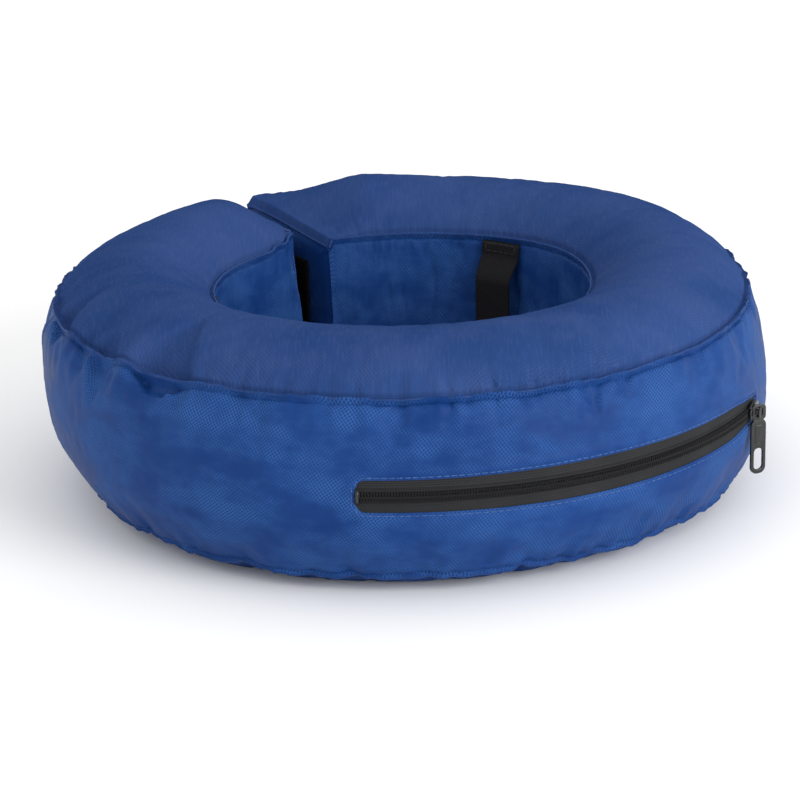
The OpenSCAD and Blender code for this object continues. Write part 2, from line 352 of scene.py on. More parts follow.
def blow_up(cover):
    """Runs a mesh as cloth under pressure, removes it, and returns where its points come to."""
    cloth = cover.modifiers.new("Cloth", "CLOTH")
    cloth.collision_settings.use_collision = False
    cloth.point_cache.frame_start, cloth.point_cache.frame_end = 1, SIM_FRAMES + 1
    s = cloth.settings
    s.quality = 6
    s.mass = 0.2
    s.tension_stiffness = s.compression_stiffness = 15
    s.shear_stiffness = 7.5
    s.bending_stiffness = 0.1
    s.air_damping = 2
    s.use_pressure = True
    s.uniform_pressure_force = 4
    s.effector_weights.gravity = 0
    for number in range(1, SIM_FRAMES + 1):
        bpy.context.scene.frame_set(number)
    shape = cover.evaluated_get(bpy.context.evaluated_depsgraph_get()).to_mesh()
    blown = np.zeros(len(shape.vertices) * 3)
    shape.vertices.foreach_get("co", blown)
    bpy.data.objects.remove(cover)
    bpy.context.scene.frame_set(1)
    return blown.reshape(-1, 3)


def inflate():
    """Blows the cover up as cloth. Returns how far each point of the grid ends
    from the average section, as (outward, round the ring, up), in (columns, rows, 3)."""
    az = np.arange(LEFT_END, RIGHT_END + SIM_STEP / 2, SIM_STEP)
    section = sim_section()
    count, rows = len(az), len(section)
    verts, faces = sim_mesh(az, section)
    jitter = np.random.default_rng(SIM_SEED).normal(0, SIM_JITTER, (len(verts), 3))
    mesh = bpy.data.meshes.new("blown_up")
    mesh.from_pydata((np.array(verts) + jitter).tolist(), [], faces)
    blown = blow_up(link(bpy.data.objects.new("blown_up", mesh)))
    blown = blown[:count * rows].reshape(count, rows, 3)
    a = np.radians(az)[:, None]
    out = blown[..., 0] * np.cos(a) + blown[..., 1] * np.sin(a)
    across = -blown[..., 0] * np.sin(a) + blown[..., 1] * np.cos(a)
    moved = np.stack([out, across, blown[..., 2]], -1)
    moved = moved - slow_part(moved, WRINKLE_AZ / SIM_STEP)
    return np.concatenate([moved, moved[:, :1]], axis=1)


BLOWN = inflate()


def wrinkles(panel, az, share):
    """The inflated cover's wrinkles at columns and shares of a panel, as (outward, round, up)."""
    first = sum(SIM_ROWS[p] for p in range(panel))
    x = np.broadcast_to(((az - LEFT_END) / SIM_STEP)[:, None], share.shape)
    moved = cubic_sample(BLOWN, x, first + share * SIM_ROWS[panel])
    length = np.linalg.norm(moved, axis=-1, keepdims=True) + 1e-9
    return moved * (WRINKLE_CAP * np.tanh(WRINKLE_GAIN[panel] * length / WRINKLE_CAP) / length)


# ---- creases, dents and the split's ends ----

# The seams in the order of the section, from the bottom inner one: the way each is drawn in, as (outward,
# up), and its pleats, as (seed, pitch in degrees, depth in mm)
SEAMS = [
    ((0.7, 0.7), (11, 5.2, 0.8)),
    ((-0.7, 0.7), (12, 4.2, 0.8)),
    ((-0.75, -0.65), (13, 4.2, 2.3)),
    ((0.6, -0.8), (14, 6.0, 1.0)),
]
# Dents at the top outer seam: azimuth, half width in degrees, and in mm depth, reach over the top and
# reach down the wall. All of them go in and down alike.
DENTS = [
    (-172, 6.0, 4.0, 20, 16),
    (-163, 4.5, 8.0, 34, 12),
    (-151, 3.4, 3.0, 10, 22),
    (-145, 5.0, 7.5, 14, 26),
    (-131, 7.5, 10.0, 42, 13),
    (-126, 3.0, 3.0, 8, 18),
    (-61, 2.6, 4.5, 6, 22),
    (-55, 2.2, 3.6, 5, 18),
    (-38, 3.0, 2.6, 8, 20),
    (-12, 3.0, 4.0, 16, 12),
    (-3, 2.8, 3.6, 14, 14),
    (6, 3.0, 3.2, 14, 12),
]
DENT_WAY = (0.45, 0.85)
# Ridges beside them, where the fabric is pushed up: azimuth and width in degrees, height and reach in mm
RIDGES = [(-139, 2.0, 3.2, 20), (-156, 2.2, 2.4, 16), (-120, 2.5, 1.4, 12)]
# Across a seam: a small ridge on its line, a groove beside it, and pleats that run on from there.
# Pleats and dents die down close to the stitches.
SEAM_RIDGE = 0.8 * MM
GROOVE_DEPTH = 1.7 * MM
GROOVE_AT = 1.6 * MM
GROOVE_W = 1.0 * MM
PLEAT_REACH = 9 * MM
SEAM_CALM = 4 * MM
# The zip's band, where the fabric lies flat: half its height, and over how much it fades out
BAND_HALF = 12 * MM
BAND_FADE = 10 * MM
# The folded edge round the window: how wide and thick it is, and how deep it is rolled over and stitched
LIP_W = 5 * MM
LIP_T = 0.6 * MM
LIP_ROLL = 0.9 * MM
LIP_STITCHED = 0.4 * MM


def gathers(az, seed, pitch, depth):
    """An uneven row of small pleats along a seam, from 0 to depth."""
    rng = np.random.default_rng(seed)
    total = np.zeros_like(az, float)
    for harmonic in range(1, 5):
        phase, detune = rng.uniform(0, 2 * np.pi), rng.uniform(0.8, 1.25)
        total += np.sin(2 * np.pi * az / (pitch / harmonic) * detune + phase) / harmonic ** 0.7
    swell = 0.35 + 0.65 * smooth(np.sin(np.radians(az) * 3 + rng.uniform(0, 6)), -0.6, 0.9)
    return depth * swell * np.clip(0.5 + 0.4 * total, 0, 1.4)


def seam_distance(panel, share):
    """Distances along the fabric to the seams at a panel's start and end."""
    return share * LENGTHS[panel], (1 - share) * LENGTHS[panel]


def creases(panel, az, share):
    """How far the skin is drawn in at its seams, along each seam's bisector: (outward, up)."""
    moved = 0
    for seam, distance in zip((panel, (panel + 1) % len(SEAMS)), seam_distance(panel, share)):
        inward, (seed, pitch, depth) = SEAMS[seam]
        groove = GROOVE_DEPTH * bump(distance, GROOVE_AT, GROOVE_W)
        ridge = SEAM_RIDGE * bump(distance, 0, SEAM_RIDGE)
        fold = gathers(az[:, None], seed, pitch, depth * MM) * np.exp(-distance / PLEAT_REACH)
        fold *= 0.25 + 0.75 * smooth(distance, 0, SEAM_CALM)
        moved = moved + np.multiply.outer(inward, groove - ridge + fold)
    return moved


def dents(panel, az, share):
    """The dents at the top outer seam, each a triangle on the seam, and the ridges: (outward, up)."""
    if panel not in (OUTER, TOP):
        return 0, 0
    a = az[:, None]
    start, end = seam_distance(panel, share)
    distance = end if panel == OUTER else start
    total = np.zeros_like(share)
    for centre, width, depth, over, down in DENTS:
        left = np.clip(1 - distance / (MM * (down if panel == OUTER else over)), 0.02, 1)
        total -= depth * MM * left * smooth(1 - np.abs(a - centre) / (width * left), 0, 0.55)
    total *= 0.15 + 0.85 * smooth(distance, 0, SEAM_CALM)
    for centre, width, height, reach in RIDGES:
        total += height * MM * bump(a, centre, width) * np.exp(-(distance / (reach * MM)) ** 1.5)
    return np.multiply.outer(DENT_WAY, total)


def calm(panel, az, z):
    """0 on the zip's band, where the fabric lies flat, and 1 away from it."""
    if panel != OUTER:
        return np.ones_like(z)
    near = 1 - smooth(np.abs(z - ZIP_Z), BAND_HALF, BAND_HALF + BAND_FADE)
    along = smooth(az, ZIP_FROM - 6, ZIP_FROM - 1) * (1 - smooth(az, ZIP_TO + 1, ZIP_TO + 6))
    return 1 - 0.97 * near * along[:, None]


def window_lip(panel, az, z):
    """The folded and stitched edge round the zip's window, as a distance outward."""
    if panel != OUTER:
        return 0
    up = np.abs(z - ZIP_Z) - window_half(az)[:, None]
    along = np.radians(np.maximum(ZIP_FROM - az, az - ZIP_TO))[:, None] * OUTER_R
    away = np.hypot(np.maximum(up, 0), np.maximum(along, 0))
    lip = LIP_T * (1 - smooth(away, LIP_W, LIP_W + 2 * LIP_T))
    lip -= LIP_ROLL * bump(away, 0, LIP_ROLL)
    return lip - LIP_STITCHED * bump(away, STITCH_INSET, 2 * LIP_STITCHED)


# Each arm's end runs straight across the ring: the azimuth it runs at, and how far it passes from the axis
END_LINES = {"left": (115.9, 13.9 * MM), "right": (124.7, -18.4 * MM)}
# How far round the ring, in degrees, the skin makes up for that slant
SLANT_AZ = 34
# No part of the ring is nearer its axis than this
INNERMOST_R = 85 * MM


def slant(r, side):
    """How far round the ring an arm's end is from its place in the CAD, in degrees."""
    line_az, offset = END_LINES[side]
    cad_az = LEFT_END + 360 if side == "left" else RIGHT_END
    return line_az + np.degrees(np.arcsin(offset / np.clip(r, INNERMOST_R, None))) - cad_az


def near_end(a, side, reach):
    """1 at an arm's end, and 0 a number of degrees away from it."""
    away = a - LEFT_END if side == "left" else RIGHT_END - a
    return 1 - smooth(away, 0, reach)


# Where the walls differ from the CAD's round barrel, as bells round the ring: azimuth and width in degrees
LEFT_SIDE = (-175, 38)
LEFT_FRONT = (-150, 22)
ZIP_SIDE = (-28, 20)
FRONT_RIGHT = (-20, 30)
FAR_RIGHT = (15, 25)
BACK_RIGHT = (25, 35)
FOOT_H = 42 * MM
LEFT_SHOULDER = (90 * MM, 12 * MM)


def lean(a, r, z):
    """How far the walls hang from the CAD's round barrel, as (outward, up). Amounts are in mm."""
    outside = smooth(r, 150 * MM, 178 * MM)
    # The foot is drawn in and lifted all round, but drawn in less at the front right
    foot = 1 - smooth(z, 0, FOOT_H)
    out = foot * (4 * bump(a, *FRONT_RIGHT) - 8) - 2.5 * bump(a, *FAR_RIGHT)
    up = foot * (2 + 2 * bump(a, *ZIP_SIDE) + 2 * bump(a, *LEFT_FRONT))
    # The left slopes in from a full shoulder under its top seam
    slope = 1 - smooth(z, 10 * MM, 95 * MM)
    out -= bump(a, *LEFT_SIDE) * (7 * slope - 1.5 * bump(z, *LEFT_SHOULDER))
    # The back right stands a little higher
    raised = 3.5 * bump(a, *BACK_RIGHT) * smooth(z, 70 * MM, 105 * MM)
    return outside * out * MM, (outside * up + raised) * MM


def end_shape(a, r, z):
    """How the arms' ends differ from the round section, as (outward, up). Amounts are in mm."""
    high = smooth(z, 55 * MM, 100 * MM)
    crown = np.clip(z - TOP_SEAM_Z, 0, None)
    across = smooth(r, INNER_SEAM_R, OUTER_SEAM_R)
    # The crown is flattened towards the ends, and a little fuller between them
    right, left = near_end(a, "right", 24), near_end(a, "left", 13)
    flat = 0.25 * (1 - right) * (1 - left) - 0.9 * right - 0.55 * left
    # The right end's outer corner stands up, and both ends roll over at the edge
    up = high * (6.5 * near_end(a, "right", 44) * across - 4.5 * near_end(a, "right", 1.5))
    up -= 4 * near_end(a, "left", 3) * high * across
    # The left end's inner corner is puckered
    corner = high * (1 - smooth(r, 99 * MM, 128 * MM))
    pucker = near_end(a, "left", 14) * corner
    folds = 1.5 * near_end(a, "left", 15) * corner * np.sin(np.radians(a) * 40 + r * 160)
    return (7 * pucker + folds) * MM, flat * crown + (up + 3 * pucker + folds) * MM


def in_place(a, r, z):
    """Points of the ring after the walls' lean, the ends' shape and the ends' slant: (azimuth, r, z)."""
    turned = a
    for side in SIDES:
        turned = turned + slant(r, side) * near_end(a, side, SLANT_AZ)
    lean_out, lean_up = lean(a, r, z)
    end_out, end_up = end_shape(a, r, z)
    return turned, r + lean_out + end_out, z + lean_up + end_up


def skin(panel, az, share):
    """The cover's outer face at columns and rows, as (columns, rows, 3)."""
    r, z = on_section(panel, share)
    a = np.broadcast_to(az[:, None], share.shape)
    still = calm(panel, az, z)
    wrinkled = wrinkles(panel, az, share)
    crease_out, crease_up = creases(panel, az, share)
    dent_out, dent_up = dents(panel, az, share)
    turned, new_r, new_z = in_place(a, r, z)
    turned = turned + np.degrees(still * wrinkled[..., 1] / r)
    new_r = new_r + still * (wrinkled[..., 0] + crease_out + dent_out) + window_lip(panel, az, z)
    new_z = new_z + still * (wrinkled[..., 2] + crease_up + dent_up)
    return polar(new_r, turned, np.maximum(new_z, 0))


def normals(points):
    """The outward normal at each point of a grid."""
    round_the_ring = np.gradient(points, axis=0)
    along_section = np.gradient(points, axis=1)
    return unit(np.cross(round_the_ring, along_section))


# ---- sheets made from grids ----

def rim_edges(quads):
    """The edges that belong to one quad only, each turned against that quad's own way round."""
    edges = np.vstack([quads[:, [k, (k + 1) % 4]] for k in range(4)])
    span = edges.max() + 1
    there, back = edges @ (span, 1), edges @ (1, span)
    return edges[~np.isin(back, there)][:, ::-1]


def sheet_mesh(name, outer, inner, threads, keep=None, weld=False):
    """A closed sheet between two grids of points, with the weave's coordinates on it. A mask can leave
    cells out, and a grid that comes back to its own start is welded there."""
    count, rows = outer.shape[:2]
    if keep is None:
        keep = np.ones((count - 1, rows - 1), bool)
    number = np.arange(count * rows).reshape(count, rows)
    i, j = np.nonzero(keep)
    front = np.column_stack([number[i, j], number[i + 1, j], number[i + 1, j + 1], number[i, j + 1]])
    back = front[:, ::-1] + count * rows
    edges = rim_edges(front)
    faces = np.vstack([front, back, np.hstack([edges, edges[:, ::-1] + count * rows])])
    used, compact = np.unique(faces, return_inverse=True)
    points = np.vstack([outer.reshape(-1, 3), inner.reshape(-1, 3)])[used]
    obj = mesh_piece(name, points, compact.reshape(faces.shape).tolist())
    flat = np.vstack([threads.reshape(-1, 2)] * 2)[used]
    corner = np.zeros(len(obj.data.loops), int)
    obj.data.loops.foreach_get("vertex_index", corner)
    layer = obj.data.uv_layers.new(name="threads")
    layer.data.foreach_set("uv", flat[corner].astype(np.float32).ravel())
    if weld:
        mesh = bmesh.new()
        mesh.from_mesh(obj.data)
        bmesh.ops.remove_doubles(mesh, verts=mesh.verts, dist=0.01 * MM)
        mesh.to_mesh(obj.data)
        mesh.free()
    return obj


def thread_coordinates(panel, points, az, share):
    """Where each point lies on the cloth it was cut from, in metres."""
    if panel in (TOP, BOTTOM):
        return points[..., :2]
    radius = OUTER_R if panel == OUTER else INNER_SEAM_R
    along = np.broadcast_to(np.radians(az)[:, None] * radius, share.shape)
    return np.stack([along, share * LENGTHS[panel]], -1)


# ---- the cover's panels ----

AZ_SLACK = 0.01
END_SHARES = np.array([1, 0.985, 0.965, 0.93, 0.86, 0.75, 0.6, 0.4, 0.2, 0.05, 0])


def bend(obj, arm):
    """Bakes a piece's placement into its mesh. The hinge at the flex line and the way along it are
    worked out, but the piece is not bent.
    """
    flex = LEFT_FLEX if arm == "left_arm" else RIGHT_FLEX
    away = -90 if arm == "left_arm" else 90
    hinge = Vector(polar(MID_R, flex, MID_Z))
    along = Vector(polar(1.0, flex + away, 0.0))
    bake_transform(obj)


def uncut_cells(panel, az, rows):
    """A mask of the panel's cells, without those of the zip's window."""
    keep = np.ones((len(az) - 1, rows - 1), bool)
    if panel == OUTER:
        in_zip = (az[:-1] > ZIP_FROM - AZ_SLACK) & (az[1:] < ZIP_TO + AZ_SLACK)
        below, across, _ = WALL_ROWS
        keep[in_zip, below:below + across] = False
    return keep


def cover_panels(wall, panel_sheen_cloth):
    """The four panels of the cover, each in two stretches that meet at the cut. Returns their outer faces."""
    az = columns()
    faces = {}
    for panel, label in PANELS.items():
        share = panel_shares(panel, az)
        outer = faces[panel] = skin(panel, az, share)
        inner = outer - normals(outer) * FABRIC_T
        threads = thread_coordinates(panel, outer, az, share)
        uncut = uncut_cells(panel, az, share.shape[1])
        for side, (low, high, arm) in SIDES.items():
            on_side = (az[:-1] > low - AZ_SLACK) & (az[1:] < high + AZ_SLACK)
            obj = sheet_mesh(f"{label}_{side}_cover", outer, inner, threads, uncut & on_side[:, None])
            # The top and bottom panels take the walls' nylon with painted sheen in its tint
            material = wall if panel in (OUTER, INNER) else panel_sheen_cloth
            finish_piece(obj, None, material, "cover_fabric", f"{label}_front", f"{label}_{side}")
            bend(obj, arm)
    return faces


def end_panels(faces, material):
    """The two panels that close the cover at the split, drawn in a little from the seam round them."""
    puff = 1.0 * MM * smooth(1 - END_SHARES, 0, 0.3) - 1.2 * MM * bump(END_SHARES, 0.975, 0.02)
    for side, column, inside in (("left", 0, 1), ("right", -1, -3)):
        rim = np.vstack([faces[panel][column, :-1] for panel in PANELS] + [faces[BOTTOM][column, :1]])
        behind = np.vstack([faces[panel][inside, :-1] for panel in PANELS])
        middle = rim[:-1].mean(0)
        ahead = unit(middle - behind.mean(0))
        outer = middle + (rim - middle)[None] * END_SHARES[:, None, None] + puff[:, None, None] * ahead
        inner = outer - ahead * FABRIC_T
        if side == "left":
            outer, inner = inner, outer
        threads = np.stack([outer @ np.cross(ahead, (0, 0, 1)), outer[..., 2]], -1)
        obj = sheet_mesh(f"end_panel_{side}_cover", outer, inner, threads, weld=True)
        finish_piece(obj, f"{side}_arm", material, "cover_fabric", f"end_panel_{side}")


# ---- bladder and valve ----

BLADDER_SCALE = 0.86
FILM_T = 0.5 * MM
VALVE_AZ = -61
VALVE_HOLE_R = 16.3 * MM
BLADDER_GAP_AZ = 1.5
BLADDER_STEP = 1.2
BLADDER_POINTS = 96
# The domed end: how many degrees it takes, and its size at each of its columns
CAP_AZ = 3.5
CAP_SHARES = np.array([0, 0.2, 0.45, 0.7, 0.86, 0.95, 0.99])


def bladder_section():
    """The ring's section drawn in about its centre and rounded off, as a closed loop of (r, z)."""
    loop = np.vstack([CURVES[panel][:-1] for panel in PANELS])
    closed = np.vstack([loop, loop[:1]])
    along = measured(closed)
    at = np.linspace(0, along[-1], BLADDER_POINTS, endpoint=False)
    even = np.column_stack([np.interp(at, along, column) for column in closed.T])
    for _ in range(6):
        even = (np.roll(even, 1, 0) + 2 * even + np.roll(even, -1, 0)) / 4
    centre = np.array([MID_R, MID_Z + 4 * MM])
    even = centre + (even - centre) * BLADDER_SCALE
    return np.vstack([even, even[:1]])


def bladder_grid(section, side):
    """One stretch of the bladder, from its domed end to the cut, as azimuths and points."""
    free, inward = (LEFT_END, 1) if side == "left" else (RIGHT_END, -1)
    first = free + inward * BLADDER_GAP_AZ
    domed = first + inward * CAP_AZ * (1 - np.sqrt(1 - CAP_SHARES ** 2))
    plain = np.linspace(first + inward * CAP_AZ, CUT, round(abs(CUT - first) / BLADDER_STEP))
    az = np.concatenate([domed, plain])[:, None]
    share = np.concatenate([CAP_SHARES, np.ones(len(plain))])[:, None]
    slack = 1 + 0.006 * np.sin(np.radians(az) * 23) * np.cos(np.linspace(0, 6 * np.pi, len(section)))
    centre = section[:-1].mean(0)
    rz = centre + (section - centre) * (share * slack)[..., None]
    turned, r, z = in_place(np.broadcast_to(az, slack.shape), rz[..., 0], rz[..., 1])
    return turned, polar(r, turned, z)


def round_the_valve(points):
    """A mask of the cells that the valve takes up."""
    axis = polar(1.0, VALVE_AZ, 0.0)
    hub = points - np.array([0, 0, MID_Z])
    off = np.linalg.norm(hub - (hub @ axis)[..., None] * axis, axis=-1)
    hole = (off < VALVE_HOLE_R) & (hub @ axis > MID_R)
    return hole[:-1, :-1] | hole[1:, :-1] | hole[1:, 1:] | hole[:-1, 1:]


def bladder(material):
    """The air bladder: one closed tube of vinyl film, in two stretches that meet at the cut."""
    section = bladder_section()
    for side, (_, _, arm) in SIDES.items():
        turned, outer = bladder_grid(section, side)
        if side == "right":
            outer = outer[::-1]
        inner = outer - normals(outer) * FILM_T
        threads = np.stack(np.broadcast_arrays(np.radians(turned) * MID_R, measured(section)), -1)
        obj = sheet_mesh(f"bladder_{side}_tube", outer, inner, threads, ~round_the_valve(outer), weld=True)
        finish_piece(obj, None, material, "bladder_film", "bladder_front", f"bladder_{side}")
        bend(obj, arm)


def valve(material):
    """The valve keeps its CAD shape and takes its material."""
    for node in ("valve_body", "valve_flap", "valve_tether", "valve_plug"):
        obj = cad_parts[node]
        obj.data.materials.clear()
        obj.data.materials.append(material)


# ---- threads and tubes ----

def tube(points, outward, half_w, half_t, sides=8):
    """Vertices and faces of a closed tube along points, with its half width and half thickness at each."""
    along = unit(np.gradient(points, axis=0))
    across = unit(np.cross(outward, along))
    up = np.cross(along, across)
    turn = np.linspace(0, 2 * np.pi, sides, endpoint=False)
    ring = (np.cos(turn)[None, :, None] * across[:, None] * np.reshape(half_w, (-1, 1, 1))
            + np.sin(turn)[None, :, None] * up[:, None] * np.reshape(half_t, (-1, 1, 1)))
    verts = (points[:, None] + ring).reshape(-1, 3)
    faces = [tuple(range(sides))[::-1], tuple(range(len(verts) - sides, len(verts)))]
    for start in range(0, len(verts) - sides, sides):
        for j in range(sides):
            a, b = start + j, start + (j + 1) % sides
            faces.append((a, b, b + sides, a + sides))
    return verts, faces


def joined_piece(name, parts, sharp=50):
    """A mesh object from several (vertices, faces)."""
    verts, faces = [], []
    for part_verts, part_faces in parts:
        faces += [tuple(v + len(verts) for v in face) for face in part_faces]
        verts += list(part_verts)
    return mesh_piece(name, verts, faces, sharp)


STITCH = 2.9 * MM
STITCH_GAP = 0.8 * MM
THREAD_HALF = 0.3 * MM


def stitches(points, outward):
    """A row of stitches along a line on a surface: each is a short thread that dips in at its ends."""
    along = measured(points)
    count = max(1, round(along[-1] / (STITCH + STITCH_GAP)))
    pitch = along[-1] / count
    shares = np.linspace(-0.5, 0.5, 7)
    dip = 1 - (2 * np.abs(shares)) ** 4
    for k in range(count):
        at = (k + 0.5) * pitch + shares * (pitch - STITCH_GAP)
        line = np.column_stack([np.interp(at, along, points[:, c]) for c in range(3)])
        up = np.column_stack([np.interp(at, along, outward[:, c]) for c in range(3)])
        line = line + up * (THREAD_HALF * (0.75 * dip - 0.35))[:, None]
        width = THREAD_HALF * (0.55 + 0.45 * dip)
        yield tube(line, up, width, 0.8 * width, sides=6)


# ---- collar loops ----

WEBBING_W = 22 * MM
WEBBING_T = 1.5 * MM
WEBBING_EDGE = 1.2 * MM
LOOP_R = 88.45 * MM
LOOP_MARGIN = 1 * MM
LOOP_TAB = 6 * MM
LOOP_RAMP = 15 * MM
LOOP_LIFT = WEBBING_T / 2 + 0.1 * MM
LOOP_REACH_AZ = 7.5
LOOP_FIRST_AZ = 55.5
LOOP_STEP_AZ = 75
LOOP_AZS = [LOOP_FIRST_AZ - LOOP_STEP_AZ * k for k in range(4)]
LOOP_BODIES = ["right_arm", "ring_front", "ring_front", "left_arm"]


def loop_path(face_z, face_r):
    """The strap's centreline as (r, z): sewn to the wall at both ends, and slack in between."""
    z_high, z_low = TOP_SEAM_Z - LOOP_MARGIN, BOTTOM_SEAM_Z + LOOP_MARGIN
    z = np.linspace(z_high, z_low, 190)
    depth = np.minimum(z_high - z, z - z_low)
    slack = smooth(depth, LOOP_TAB, LOOP_TAB + LOOP_RAMP)
    on_wall = np.interp(z, face_z, face_r) - LOOP_LIFT
    return (1 - slack) * on_wall + slack * LOOP_R, z


def loop_webbing(az, r, z):
    """The two faces of a strap with ribbed webbing, as grids, and its weave's coordinates."""
    across = np.linspace(-WEBBING_W / 2, WEBBING_W / 2, 45)[:, None]
    normal_r, normal_z = unit(np.column_stack([-np.gradient(z), np.gradient(r)])).T
    along = measured(np.column_stack([r, z]))
    edge = np.clip((WEBBING_W / 2 - np.abs(across)) / WEBBING_EDGE, 0, 1)
    half_t = WEBBING_T / 2 * np.sqrt(1 - (1 - edge) ** 2) + 0.02 * MM
    every_other = np.pi * (np.arange(len(across)) % 2)[:, None]
    ribs = np.sin(2 * np.pi * across / (1.5 * MM)) * np.sin(2 * np.pi * along / (2.2 * MM) + every_other)
    off = half_t + 0.09 * MM * ribs * edge
    at_az = az + np.degrees(across / LOOP_R)
    faces = [polar(r + sense * off * normal_r, at_az, z + sense * off * normal_z) for sense in (1, -1)]
    return *faces, np.stack(np.broadcast_arrays(across, along), -1)


def loop_stitches(az, r, z):
    """A box of stitches through a strap at each end."""
    half = WEBBING_W / 2 - 2.5 * MM
    for seam_z, inward in ((TOP_SEAM_Z, -1), (BOTTOM_SEAM_Z, 1)):
        z_from, z_to = seam_z + inward * 2 * MM, seam_z + inward * 6 * MM
        corners = [(-half, z_from), (half, z_from), (half, z_to), (-half, z_to), (-half, z_from)]
        for start, end in zip(corners, corners[1:]):
            x, height = np.linspace(start, end, 20).T
            at_az = az + np.degrees(x / LOOP_R)
            radius = np.interp(height, z[::-1], r[::-1]) - LOOP_LIFT
            yield from stitches(polar(radius, at_az, height), -polar(1.0, at_az, 0.0))


def loops(faces, material, thread):
    """The four webbing loops round the neck hole, each stitched at both ends."""
    wall = faces[INNER]
    wall_az = np.degrees(np.arctan2(wall[..., 1], wall[..., 0]))
    for number, (az, body) in enumerate(zip(LOOP_AZS, LOOP_BODIES), 1):
        near = np.abs((wall_az[:, PANEL_ROWS[INNER] // 2] - az + 180) % 360 - 180) < LOOP_REACH_AZ
        face_z = wall[near, :, 2].mean(0)[::-1]
        face_r = np.hypot(wall[near, :, 0], wall[near, :, 1]).min(0)[::-1]
        r, z = loop_path(face_z, face_r)
        name = f"collar_loop_{number}"
        finish_piece(sheet_mesh(f"{name}_webbing", *loop_webbing(az, r, z)), body, material, "webbing", name)
        sewing = joined_piece(f"{name}_stitches", loop_stitches(az, r, z))
        finish_piece(sewing, body, thread, "webbing")


# ---- hook and loop patches ----

PATCH_W = 46 * MM
PATCH_H = 64 * MM
PATCH_LEAD = 0.8 * MM
PATCH_SEED = 21
PATCH_MARGIN = 2 * MM
HOOK_PITCH = 1.8 * MM
HOOK_R = 0.12 * MM
HOOK_H = 0.62 * MM
HOOK_LEAN = 0.55 * MM
HOOK_TURN = 0.78 * math.pi


def on_end(side, x, y, height):
    """Points on an arm's end: x along the end from the middle radius, y up, and a height off its panel."""
    az, sense = (LEFT_END, -1) if side == "left" else (RIGHT_END, 1)
    r = MID_R + x
    lead = sense * (height + FABRIC_T + PATCH_LEAD)
    return polar(r, az + slant(r, side) + np.degrees(lead / r), MID_Z + y)


def patch_base(name, side, relief):
    """A patch's woven backing, with rounded corners to its edge and its own relief."""
    x = np.linspace(-PATCH_W / 2, PATCH_W / 2, 70)
    y = np.linspace(-PATCH_H / 2, PATCH_H / 2, 96)
    gx, gy = np.meshgrid(x, y, indexing="ij")
    edge = np.minimum(PATCH_W / 2 - np.abs(gx), PATCH_H / 2 - np.abs(gy))
    height = relief(gx, gy) * smooth(edge, 0, 1.4 * MM) + 0.3 * MM * smooth(edge, -0.2 * MM, 0.8 * MM)
    front, back = on_end(side, gx, gy, height), on_end(side, gx, gy, 0)
    if side == "left":
        front, back = back, front
    return sheet_mesh(name, front, back, np.stack([gx, gy], -1))


def hooks(rng):
    """Rows of small hooks, which lean the other way in every other row."""
    curl = np.linspace(0, HOOK_TURN, 6)
    outward = polar(1.0, LEFT_END + 0 * curl, 0.0)
    rise = 0.3 * MM + HOOK_H * np.sin(curl)
    half_w, half_h = PATCH_W / 2 - PATCH_MARGIN, PATCH_H / 2 - PATCH_MARGIN
    for row, x in enumerate(np.arange(-half_w, half_w + 0.5 * MM, HOOK_PITCH)):
        way = 1 if row % 2 else -1
        for y in np.arange(-half_h, half_h, HOOK_PITCH):
            tip = way * HOOK_LEAN * (1 - np.cos(curl)) / 2 + rng.normal(0, 0.05 * MM)
            yield tube(on_end("left", x + 0 * curl, y + tip, rise), outward, HOOK_R, HOOK_R, sides=5)


def patches(hook, pile):
    """The hook patch on the left arm's end, with its hooks, and the loop patch on the right arm's."""
    rng = np.random.default_rng(PATCH_SEED)
    base = patch_base("hook_patch_backing", "left", lambda x, y: 0.05 * MM * np.sin(x / (0.25 * MM)))
    finish_piece(base, "left_arm", hook, "hook_tape", "hook_patch")
    finish_piece(joined_piece("hook_patch_hooks", hooks(rng)), "left_arm", hook, "hook_tape")

    def fuzz(x, y):
        lumps = sum(np.sin(x * k + rng.uniform(0, 6)) * np.sin(y * k * 0.83 + rng.uniform(0, 6))
                    for k in (1300, 2100, 2900, 3700))
        return 0.45 * MM + 0.1 * MM * lumps

    obj = patch_base("loop_patch_pile", "right", fuzz)
    finish_piece(obj, "right_arm", pile, "loop_tape", "loop_patch")


# ---- zip ----

COIL_PITCH = 1.4 * MM
COIL_WIRE_R = 0.3 * MM
COIL_OVERLAP = 0.35 * MM
TAPE_REACH_AZ = 3.5
STITCH_LIFT = 0.25 * MM
PLATE_T = 1.2 * MM
SLIDER_SIDE_R = 193.6 * MM
# The pull is turned to face more to the front
PULL_YAW = -42
PULL_R = 197 * MM
SLIDER_HALF_L = 6 * MM
SLIDER_PLATES_R = (190.1 * MM, 194.6 * MM)
# The headed crown that holds the pull: radius from the ring's axis and half width, in mm
CROWN = np.array([
    (194.6, 1.9), (195.6, 1.3), (197.4, 1.3), (197.6, 1.5),
    (197.7, 2.4), (198.2, 2.6), (198.6, 1.8), (198.75, 0.3),
])


def zip_tape(name, side, material):
    """One woven tape behind the window, with the channel that its coil is sewn along."""
    az = np.arange(ZIP_FROM - TAPE_REACH_AZ, ZIP_TO + TAPE_REACH_AZ + 0.2, 0.4)[:, None]
    across = np.linspace(COIL_GAP, COIL_GAP + TAPE_W, 66)
    z = ZIP_Z + side * across
    cord = 0.22 * MM * bump(across, 4.4 * MM, 0.5 * MM) - 0.2 * MM * bump(across, 3.5 * MM, 0.4 * MM)
    ribs = 0.05 * MM * np.sin(2 * np.pi * across / (1.1 * MM))
    face = wall_radius(z) - FABRIC_T
    outer, inner = polar(face + cord + ribs, az, z), polar(face - TAPE_T, az, z)
    if side < 0:
        outer, inner = inner, outer
    threads = np.stack(np.broadcast_arrays(np.radians(az) * OUTER_R, across), -1)
    obj = sheet_mesh(name + "_woven", outer, inner, threads)
    finish_piece(obj, "ring_front", material, "zip_tape", name)


